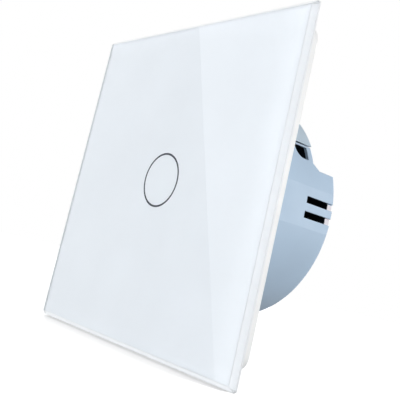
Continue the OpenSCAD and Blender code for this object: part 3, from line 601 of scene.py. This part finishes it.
class SWITCH_OT_glass(bpy.types.Operator):
    """Makes the bevelled glass with its print, ring and tape"""

    bl_idname = "touch_switch.glass"
    bl_label = "Glass panel"

    CLEAR, GROUND, POLISHED, GROUND_BACK = range(4)

    def execute(self, context):
        look = context.scene.switch_glass
        centre, size = middle_of("glass_panel")
        shape = bmesh.new()
        block(shape, centre + INTO_WALL * look.bond / 2, size + INTO_WALL * look.bond)
        uprights = [e for e in shape.edges if abs((e.verts[0].co - e.verts[1].co).y) > size.y / 2]
        soften(shape, uprights, look.corner, 5)
        for side in (ACROSS, -ACROSS, UPWARD, -UPWARD):
            edge = centre + side * abs(side.dot(size)) / 2
            for way, width in ((TO_ROOM, look.bevel), (INTO_WALL, look.back_bevel)):
                on_bevel = edge + way * (size.y / 2 - width)
                everything = list(shape.verts) + list(shape.edges) + list(shape.faces)
                cut = bmesh.ops.bisect_plane(
                    shape, geom=everything, plane_co=on_bevel, plane_no=side + way, clear_outer=True
                )
                rim = [item for item in cut["geom_cut"] if isinstance(item, bmesh.types.BMEdge)]
                bmesh.ops.holes_fill(shape, edges=rim, sides=0)
        bmesh.ops.remove_doubles(shape, verts=shape.verts, dist=MERGE)
        bmesh.ops.recalc_face_normals(shape, faces=shape.faces)
        for face in shape.faces:
            face.material_index = self.finish_of(face.normal)
        sharp = [e for e in shape.edges if len(e.link_faces) == 2 and e.calc_face_angle() > SHARP]
        for face in soften(shape, sharp, look.arris, 2):
            face.material_index = self.GROUND
        pane = settle(
            shape, "glass_pane", "panel", "glass_panel",
            [
                clear_glass("clear glass", look.tint),
                screen_print("ground edge", look.ground, 0.05),
                clear_glass("polished bevel", look.tint, look.sparkle),
                # Partly painted shade: the ground back bevel's darker grey.
                screen_print("ground back bevel", look.ground_back_shade, 0.05),
            ],
            0,
        )
        pane.visible_shadow = False
        dress("back_print", screen_print("white print", look.backing))
        self.ring(look)
        dress("panel_tape", moulded("foam tape", look.adhesive, 0.0004, 0, (0.8, 0.95), 4e-5, 0.05, 0.2))
        return {"FINISHED"}

    def finish_of(self, normal):
        """Which finish a face of the glass takes, by the way it points."""
        if abs(normal.y) >= FACING:
            return self.CLEAR
        on_corner = min(abs(normal.x), abs(normal.z)) > TURNED
        if on_corner or abs(normal.y) < TURNED:
            return self.GROUND
        return self.POLISHED if normal.y < 0 else self.GROUND_BACK

    def ring(self, look):
        """The printed ring, whose ink laps over the white print on both sides."""
        centre, size = middle_of("touch_ring")
        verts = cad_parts["touch_ring"].data.vertices
        radii = [math.hypot(vert.co.x - centre.x, vert.co.z - centre.z) for vert in verts]
        inner, outer = min(radii), max(radii)
        back = size.y / 2
        face, film = -back, -back - look.film
        lap_in, lap_out = inner - look.lap, outer + look.lap
        profile = [
            (lap_in, film), (lap_out, film), (lap_out, face), (outer, face), (outer, back),
            (inner, back), (inner, face), (lap_in, face), (lap_in, film),
        ]
        shape = bmesh.new()
        lathe(shape, profile, centre, INTO_WALL, WIDE)
        ink = screen_print("ring print", look.ring, 0.06, 0)
        settle(shape, "ring_ink", "panel", "touch_ring", [ink])


class SWITCH_OT_mouldings(bpy.types.Operator):
    """Finishes the housing, terminal block, panel frame and touch cover"""

    bl_idname = "touch_switch.mouldings"
    bl_label = "Moulded pieces"

    def execute(self, context):
        look = context.scene.switch_plastics
        low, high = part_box("base_housing")
        # Painted shade within the housing's walls and painted light on the vent grooves' floors.
        dress("base_housing", housing_with_painted_shade("housing plastic", look, (high.z - low.z) / 2, high.y))
        dress("terminal_block", moulded("block plastic", look.block, look.grain, look.edge, (0.36, 0.5)))
        white = moulded("white plastic", look.white, look.grain, look.edge)
        dress("panel_frame", white)
        dress("touch_cover", white)
        frosted = moulded("frosted plastic", look.clear, look.grain, look.edge, (0.55, 0.7), 8e-6)
        dress("light_guide", frosted)
        return {"FINISHED"}


class SWITCH_OT_plate(bpy.types.Operator):
    """Finishes the mounting plate and makes its four screws"""

    bl_idname = "touch_switch.plate"
    bl_label = "Mounting plate and screws"

    def execute(self, context):
        look = context.scene.switch_metals
        dress("mounting_plate", plated("zinc plate", look.plate, (0.3, 0.46), (0.1, 1, 1), 0.0003))
        seats = self.seats()
        low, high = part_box("plate_screws")
        under_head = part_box("mounting_plate")[0].y
        head_h = under_head - low.y
        shape = bmesh.new()
        for x, z, head_r, shank_r in seats:
            foot = Vector((x, under_head, z))
            core = shank_r - look.thread_depth
            reach = high.y - under_head
            lathe(
                shape,
                [
                    (0, -head_h), (head_r * 0.55, -head_h), (head_r * 0.82, -head_h * 0.86),
                    (head_r * 0.97, -head_h * 0.58), (head_r, -head_h * 0.3),
                    (head_r * 0.98, -head_h * 0.06), (head_r * 0.94, 0), (core, 0),
                    (core, reach - 2 * core), (core * 0.25, reach), (0, reach),
                ],
                foot, INTO_WALL,
            )
            thread(shape, foot, INTO_WALL, shank_r, look.thread_depth, look.plate_pitch, reach - 1.6 * core)
        screws = settle(
            shape, "plate_screw_set", "base", "plate_screws",
            [plated("screw zinc", look.screw, (0.2, 0.34))],
        )
        recess = bmesh.new()
        for x, z, head_r, _ in seats:
            middle = Vector((x, low.y, z))
            for wide, tall in ((1.15, 0.32), (0.32, 1.15)):
                verts = block(recess, middle, (head_r * wide, head_h * 1.3, head_r * tall))
                deep = [vert for vert in verts if vert.co.y > middle.y]
                bmesh.ops.scale(
                    recess, verts=deep, vec=(0.6, 1, 0.6), space=Matrix.Translation(-middle)
                )
        carve(screws, recess)
        return {"FINISHED"}

    def seats(self):
        """The middle, head radius and shank radius of each screw, from the packed screws."""
        points = [vert.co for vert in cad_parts["plate_screws"].data.vertices]
        found = []
        for x_side in (-1, 1):
            for z_side in (-1, 1):
                mine = [p for p in points if p.x * x_side > 0 and p.z * z_side > 0]
                xs, zs = [p.x for p in mine], [p.z for p in mine]
                last = max(p.y for p in mine)
                tip = [p.x for p in mine if p.y > last - HAIR]
                found.append((
                    (min(xs) + max(xs)) / 2, (min(zs) + max(zs)) / 2,
                    (max(xs) - min(xs)) / 2, (max(tip) - min(tip)) / 2,
                ))
        return found


class SWITCH_OT_touch(bpy.types.Operator):
    """Finishes the touch board's pieces and winds the touch spring"""

    bl_idname = "touch_switch.touch"
    bl_label = "Touch board"

    def execute(self, context):
        boards = context.scene.switch_boards
        plastics = context.scene.switch_plastics
        metals = context.scene.switch_metals
        dress("touch_board", solder_mask("touch board lacquer", boards.mask))
        chip, chip_size = middle_of("touch_chip")
        body = chip_size.z * 0.325
        dress("touch_chip", two_part("chip and legs", plastics.black, boards.tin, Z, chip.z, body))
        row, row_size = middle_of("chip_passives")
        body = row_size.z * 0.3
        dress("chip_passives", two_part("passive and ends", boards.ceramic, boards.tin, Z, row.z, body))
        body = 0.0006
        dress("indicator_leds", two_part("lamp and ends", boards.lamp, boards.lamp_ends, Z, 0, body, 0))
        dress("board_header", moulded("header plastic", plastics.black, plastics.grain, 0))
        dress("board_socket", moulded("socket plastic", plastics.black, plastics.grain, 0))
        low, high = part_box("touch_spring")
        wire_r = metals.spring_wire
        ring_r = high.x - wire_r
        start = Vector((0, high.y - wire_r, 0))
        rise = (high.y - low.y - 2 * wire_r) / metals.spring_turns
        ring = [
            ACROSS * (ring_r + wire_r * math.cos(a)) + INTO_WALL * (wire_r * math.sin(a))
            for a in (math.tau * i / 10 for i in range(10))
        ]
        shape = bmesh.new()
        coil(shape, start, start, TO_ROOM, ring, rise, metals.spring_turns, 32)
        settle(
            shape, "touch_spring_wire", "base", "touch_spring",
            [plated("spring wire", metals.wire, (0.18, 0.3))], 60,
        )
        return {"FINISHED"}


class SWITCH_OT_power(bpy.types.Operator):
    """Finishes the power board and makes what is soldered on it"""

    bl_idname = "touch_switch.power"
    bl_label = "Power board"

    def execute(self, context):
        boards = context.scene.switch_boards
        plastics = context.scene.switch_plastics
        dress("power_board", solder_mask("power board lacquer", boards.mask))
        blue = moulded("relay plastic", boards.relay, 0.0003, 0)
        cast = dipped("film case", boards.film)
        black = moulded("rectifier plastic", plastics.black, plastics.grain, 0)
        self.case("relay_case", "relay", "relay_plastic", blue, 0.0005)
        self.case("film_capacitor_case", "film_capacitor", "film_plastic", cast, 0.0008)
        self.case("rectifier_body", "bridge_rectifier", "chip_plastic", black, 0.0004)
        self.can(boards)
        self.varistor(boards)
        self.resistor(boards)
        return {"FINISHED"}

    def case(self, name, node, slot_name, material, width):
        """A moulded case with a lid line round it."""
        centre, size = middle_of(node)
        shape = bmesh.new()
        lid = size.y * 0.16
        groove = min(size) * 0.02
        soft_block(shape, centre + INTO_WALL * lid / 2, (size.x, size.y - lid, size.z), width)
        soft_block(
            shape, centre + TO_ROOM * (size.y - lid) / 2,
            (size.x - 2 * groove, lid, size.z - 2 * groove), groove,
        )
        settle(shape, name, "base", node, [material])

    def can(self, boards):
        """The sleeved can with a crimp near its foot and a bare scored top."""
        centre, size = middle_of("smoothing_capacitor")
        radius, tall = size.x / 2, size.y
        foot = centre + TO_ROOM * tall / 2
        shape = bmesh.new()
        lathe(
            shape,
            [
                (0, 0), (radius * 0.86, 0), (radius * 0.97, tall * 0.015), (radius, tall * 0.04),
                (radius, tall * 0.13), (radius * 0.93, tall * 0.16), (radius * 0.93, tall * 0.175),
                (radius, tall * 0.205), (radius, tall * 0.97), (radius * 0.96, tall * 0.995),
                (radius * 0.84, tall), (radius * 0.8, tall * 0.985), (0, tall * 0.985),
            ],
            foot, INTO_WALL, BODY,
        )
        top = foot.y + tall * 0.98
        material, tree, shader = finish("sleeve and can")
        links = tree.links
        deep = compute(tree, "GREATER_THAN", along(tree, Y), top)
        offsets = [away(tree, axis, centre[axis]) for axis in (X, Z)]
        squares = [compute(tree, "POWER", offset, 2) for offset in offsets]
        inner = compute(tree, "LESS_THAN", compute(tree, "ADD", *squares), (radius * 0.82) ** 2)
        bare = compute(tree, "MULTIPLY", deep, inner)
        sleeve = tones(tree, noise(tree, 0.003, 3), *shades(boards.sleeve, 0.15))
        links.new(choose(tree, bare, sleeve, tuple(boards.can)), shader.inputs["Base Color"])
        links.new(bare, shader.inputs["Metallic"])
        links.new(spread(tree, noise(tree, 0.002, 3), 0.26, 0.38), shader.inputs["Roughness"])
        line = compute(tree, "LESS_THAN", compute(tree, "MINIMUM", *offsets), 0.00018)
        score = compute(tree, "MULTIPLY", bare, line)
        height = compute(tree, "SUBTRACT", compute(tree, "MULTIPLY", noise(tree, 0.0004, 2), 0.1), score)
        links.new(relief(tree, height, 1.2e-4), shader.inputs["Normal"])
        settle(shape, "capacitor_can", "base", "smoothing_capacitor", [material])

    def leads(self, shape, places, radius, low, high):
        """Straight round leads along the depth."""
        for x, z in places:
            foot = Vector((x, low, z))
            reach = high - low
            lathe(shape, [(0, 0), (radius, 0), (radius, reach), (0, reach)], foot, INTO_WALL, THIN)

    def varistor(self, boards):
        """The dipped disc with its two leads."""
        centre, size = middle_of("varistor")
        low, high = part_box("varistor")
        radius, thick = size.z / 2, size.x
        middle = Vector((centre.x, high.y - radius, centre.z))
        shape = bmesh.new()
        half = thick / 2
        lathe(
            shape,
            [
                (0, -half), (radius * 0.5, -half * 0.97), (radius * 0.8, -half * 0.85),
                (radius * 0.94, -half * 0.55), (radius, 0), (radius * 0.94, half * 0.55),
                (radius * 0.8, half * 0.85), (radius * 0.5, half * 0.97), (0, half),
            ],
            middle, ACROSS, BODY,
        )
        legs = [(centre.x + s * thick / 5, centre.z + s * radius / 2) for s in (-1, 1)]
        self.leads(shape, legs, boards.lead, low.y, middle.y - radius * 0.5)
        coat = dipped("varistor coat", boards.varistor)
        settle(shape, "varistor_disc", "base", "varistor", [coat])

    def resistor(self, boards):
        """The banded body with swollen ends and two bent leads."""
        centre, size = middle_of("fuse_resistor")
        low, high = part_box("fuse_resistor")
        lead = boards.lead
        radius = size.z / 2
        half = (size.x / 2 - lead) - 2 * lead
        middle = Vector((centre.x, high.y - radius, centre.z))
        shape = bmesh.new()
        lathe(
            shape,
            [
                (0, -half), (radius * 0.55, -half), (radius * 0.92, -half * 0.94), (radius, -half * 0.84),
                (radius * 0.98, -half * 0.7), (radius * 0.84, -half * 0.56), (radius * 0.82, 0),
                (radius * 0.84, half * 0.56), (radius * 0.98, half * 0.7), (radius, half * 0.84),
                (radius * 0.92, half * 0.94), (radius * 0.55, half), (0, half),
            ],
            middle, ACROSS,
        )
        out = half + 2 * lead
        lathe(shape, [(0, -out), (lead, -out), (lead, out), (0, out)], middle, ACROSS, THIN)
        self.leads(shape, [(centre.x + s * out, centre.z) for s in (-1, 1)], lead, low.y, middle.y + lead)
        material, tree, shader = finish("resistor coat and bands")
        links = tree.links
        offset = away(tree, X, centre.x)
        wave = compute(tree, "PINGPONG", offset, 0.0008)
        near = compute(tree, "LESS_THAN", offset, half * 0.75)
        band = compute(tree, "MULTIPLY", compute(tree, "LESS_THAN", wave, 0.00025), near)
        wire = compute(tree, "GREATER_THAN", offset, half)
        coat = tones(tree, noise(tree, 0.002, 3), *shades(boards.resistor, 0.08))
        painted = choose(tree, band, coat, tuple(boards.band))
        links.new(choose(tree, wire, painted, tuple(boards.tin)), shader.inputs["Base Color"])
        links.new(wire, shader.inputs["Metallic"])
        links.new(spread(tree, noise(tree, 0.001, 2), 0.28, 0.4), shader.inputs["Roughness"])
        links.new(relief(tree, noise(tree, 0.0008, 1), 1e-5), shader.inputs["Normal"])
        settle(shape, "resistor_body", "base", "fuse_resistor", [material])


class SWITCH_OT_terminals(bpy.types.Operator):
    """Finishes the contact strips and cages and makes the clamp screws"""

    bl_idname = "touch_switch.terminals"
    bl_label = "Terminals"

    def execute(self, context):
        look = context.scene.switch_metals
        dress("terminal_strips", plated("strip brass", look.brass, (0.22, 0.36), (1, 1, 0.1), 0.0003))
        cage = plated("cage plating", look.cage, (0.28, 0.42), (1, 1, 0.1), 0.0003)
        steel = plated("clamp screw zinc", look.screw, (0.2, 0.34))
        for pole in POLES:
            dress("terminal_cage_" + pole, cage)
            self.screw(pole, look, steel)
        return {"FINISHED"}

    def screw(self, pole, look, steel):
        """A slotted clamp screw with a real thread."""
        node = "terminal_screw_" + pole
        centre, size = middle_of(node)
        low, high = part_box(node)
        points = [vert.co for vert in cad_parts[node].data.vertices]
        shank_r = max(p.x for p in points if p.y < low.y + HAIR) - centre.x
        head_r = size.x / 2
        head_h = high.y - min(p.y for p in points if p.x - centre.x > shank_r + SLACK)
        foot = Vector((centre.x, low.y, centre.z))
        reach = size.y - head_h
        core = shank_r - look.thread_depth
        shape = bmesh.new()
        lathe(
            shape,
            [
                (0, 0), (core * 0.8, 0), (core, core * 0.2), (core, reach), (head_r * 0.95, reach),
                (head_r, reach + head_h * 0.06), (head_r, reach + head_h * 0.82),
                (head_r * 0.96, reach + head_h * 0.95), (head_r * 0.88, reach + head_h),
                (0, reach + head_h),
            ],
            foot, INTO_WALL, BODY,
        )
        thread(shape, foot, INTO_WALL, shank_r, look.thread_depth, look.clamp_pitch, reach)
        piece = settle(shape, "clamp_screw_" + pole, "screw_" + pole, node, [steel])
        slot = bmesh.new()
        block(slot, Vector((centre.x, high.y, centre.z)), (size.x * 1.2, head_h, look.slot))
        carve(piece, slot)


class SWITCH_OT_stage(bpy.types.Operator):
    """Sets the camera, the lamps, the world and the floor"""

    bl_idname = "touch_switch.stage"
    bl_label = "Stage and camera"

    def execute(self, context):
        look = context.scene.switch_stage
        context.scene.view_settings.view_transform = "Standard"
        self.camera(context, look)
        self.world(context, look)
        self.floor(context, look)
        for name, (where, aim, edge, sides) in LAMPS.items():
            self.lamp(context, name, Vector(where), Vector(aim), Vector(edge), sides, getattr(look, name))
        return {"FINISHED"}

    def camera(self, context, look):
        """The camera at the photograph's viewing angle."""
        data = bpy.data.cameras.new("camera")
        data.lens = look.lens
        data.sensor_width = look.sensor
        data.shift_x = look.shift_x
        data.shift_y = look.shift_y
        data.clip_start = 0.001
        camera = bpy.data.objects.new("camera", data)
        context.scene.collection.objects.link(camera)
        level = math.cos(look.elevation)
        ahead = Vector((
            -math.sin(look.azimuth) * level, math.cos(look.azimuth) * level, -math.sin(look.elevation),
        ))
        right = ahead.cross(UPWARD).normalized()
        up = right.cross(ahead)
        c, s = math.cos(look.roll), math.sin(look.roll)
        turned = Matrix((right * c + up * s, up * c - right * s, -ahead)).transposed()
        camera.matrix_world = Matrix.Translation(Vector(look.camera)) @ turned.to_4x4()
        context.scene.camera = camera

    def world(self, context, look):
        """Even light from all sides, with white behind what is seen."""
        world = bpy.data.worlds.new("white room")
        world.use_nodes = True
        tree = world.node_tree
        lit = tree.nodes["Background"]
        lit.inputs["Color"].default_value = (*look.room, 1)
        lit.inputs["Strength"].default_value = look.ambient
        seen = tree.nodes.new("ShaderNodeBackground")
        seen.inputs["Color"].default_value = (1, 1, 1, 1)
        mix = tree.nodes.new("ShaderNodeMixShader")
        tree.links.new(seen_ray(tree), mix.inputs[0])
        tree.links.new(lit.outputs[0], mix.inputs[1])
        tree.links.new(seen.outputs[0], mix.inputs[2])
        tree.links.new(mix.outputs[0], tree.nodes["World Output"].inputs["Surface"])
        context.scene.world = world

    def floor(self, context, look):
        """A floor of pale tone under the panel, which keeps the shadow, with a painted contact shadow: it
        adds less white for the camera close to the glass.
        """
        shape = bmesh.new()
        level = CAD_BOX[0][2] - look.floor_gap
        placed = Matrix.Translation((0, 0, level))
        bmesh.ops.create_grid(shape, x_segments=1, y_segments=1, size=look.floor_size, matrix=placed)
        mesh = bpy.data.meshes.new("floor")
        shape.to_mesh(mesh)
        shape.free()
        material, tree, shader = finish("pale floor")
        shader.inputs["Base Color"].default_value = (look.floor_tone,) * 3 + (1,)
        shader.inputs["Roughness"].default_value = 0.9
        shader.inputs["Specular IOR Level"].default_value = 0
        shader.inputs["Emission Color"].default_value = (1, 1, 1, 1)
        # Painted shadow: the white added for camera rays is lowest at the glass's foot, rises over a short
        # distance in front and behind, and ends short of the glass's ends.
        centre, size = middle_of("glass_panel")
        aside, ahead = (away(tree, axis, centre[axis]) for axis in (X, Y))
        gap = compute(tree, "MAXIMUM", compute(tree, "SUBTRACT", ahead, size.y / 2), 0)
        ends = compute(tree, "SUBTRACT", aside, size.x / 2 - look.painted_shadow_inset)
        ends = compute(tree, "ADD", ends, compute(tree, "MULTIPLY", gap, look.painted_shadow_taper))
        past_ends = compute(tree, "DIVIDE", compute(tree, "MAXIMUM", ends, 0), look.painted_shadow_inset)
        share = compute(tree, "ADD", compute(tree, "DIVIDE", gap, look.painted_shadow_reach), past_ends)
        curved = compute(tree, "POWER", share, look.painted_shadow_curve)
        white = spread(tree, curved, look.painted_shadow_white, look.floor_far, 0, 1)
        rays = tree.nodes.new("ShaderNodeLightPath")
        seen = compute(tree, "MULTIPLY", rays.outputs["Is Camera Ray"], white)
        passed = compute(tree, "MULTIPLY", rays.outputs["Is Transmission Ray"], look.floor_far)
        tree.links.new(compute(tree, "MAXIMUM", seen, passed), shader.inputs["Emission Strength"])
        mesh.materials.append(material)
        floor = bpy.data.objects.new("floor", mesh)
        context.scene.collection.objects.link(floor)
        floor.visible_glossy = False

    def lamp(self, context, name, where, aim, edge, sides, power):
        """A soft rectangular lamp, with its second side along the edge."""
        data = bpy.data.lights.new(name, "AREA")
        data.shape = "RECTANGLE"
        data.size, data.size_y = sides
        data.energy = power
        lamp = bpy.data.objects.new(name, data)
        context.scene.collection.objects.link(lamp)
        back = -aim.normalized()
        upright = (edge - back * edge.dot(back)).normalized()
        turned = Matrix((upright.cross(back), upright, back)).transposed()
        lamp.matrix_world = Matrix.Translation(where) @ turned.to_4x4()
        lamp.visible_camera = False


class SWITCH_PT_sidebar(bpy.types.Panel):
    """Lists the switch's settings and steps"""

    bl_idname = "SWITCH_PT_sidebar"
    bl_label = "Touch light switch"
    bl_space_type = "VIEW_3D"
    bl_region_type = "UI"
    bl_category = "Switch"

    def draw(self, context):
        for step in STEPS:
            self.layout.operator(step.bl_idname)
        for name, group in GROUPS.items():
            settings = getattr(context.scene, name)
            box = self.layout.box()
            box.label(text=group.__doc__)
            for key in group.__annotations__:
                box.prop(settings, key)


GROUPS = {
    "switch_glass": SwitchGlass,
    "switch_plastics": SwitchPlastics,
    "switch_metals": SwitchMetals,
    "switch_boards": SwitchBoards,
    "switch_stage": SwitchStage,
}
STEPS = (
    SWITCH_OT_stage,
    SWITCH_OT_glass,
    SWITCH_OT_mouldings,
    SWITCH_OT_plate,
    SWITCH_OT_touch,
    SWITCH_OT_power,
    SWITCH_OT_terminals,
)
CLASSES = (*GROUPS.values(), *STEPS, SWITCH_PT_sidebar)


def register():
    for item in CLASSES:
        bpy.utils.register_class(item)
    for name, group in GROUPS.items():
        setattr(bpy.types.Scene, name, PointerProperty(type=group))


def unregister():
    for name in GROUPS:
        delattr(bpy.types.Scene, name)
    for item in reversed(CLASSES):
        bpy.utils.unregister_class(item)


def main():
    """Registers the classes and runs each step in order."""
    register()
    bpy.ops.touch_switch.stage()
    bpy.ops.touch_switch.glass()
    bpy.ops.touch_switch.mouldings()
    bpy.ops.touch_switch.plate()
    bpy.ops.touch_switch.touch()
    bpy.ops.touch_switch.power()
    bpy.ops.touch_switch.terminals()


if __name__ == "__main__":
    main()
